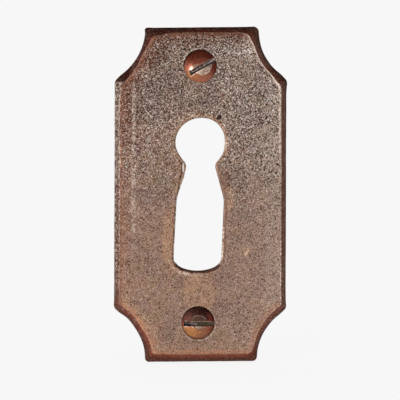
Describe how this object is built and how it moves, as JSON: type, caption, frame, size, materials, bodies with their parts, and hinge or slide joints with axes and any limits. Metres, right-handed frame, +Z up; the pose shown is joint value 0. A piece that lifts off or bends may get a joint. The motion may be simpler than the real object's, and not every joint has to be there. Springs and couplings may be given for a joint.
{
  "type": "keyhole escutcheon",
  "caption": "Upright keyhole escutcheon plate with scalloped corners, a bevelled turned-down rim and slotted raised-head wood screws; it frames the keyhole of a door or drawer lock.",
  "frame": {"origin": "halfway between the two screws, on the plane of the wood that the rim rests on", "axes": "+Z up along the plate, +X to the right seen from the front, +Y into the wood along the screws; the face looks along -Y"},
  "size_m": [0.03, 0.0167, 0.0584],
  "materials": {
    "aged_copper_plate": "sandy antique copper, browned and worn bright along the edges",
    "aged_copper_screw": "smooth browned copper, worn grey on the crown and in the slot"
  },
  "bodies": {
    "root": {"escutcheon_plate": "aged_copper_plate", "upper_screw": "aged_copper_screw", "lower_screw": "aged_copper_screw"}
  },
  "joints": []
}
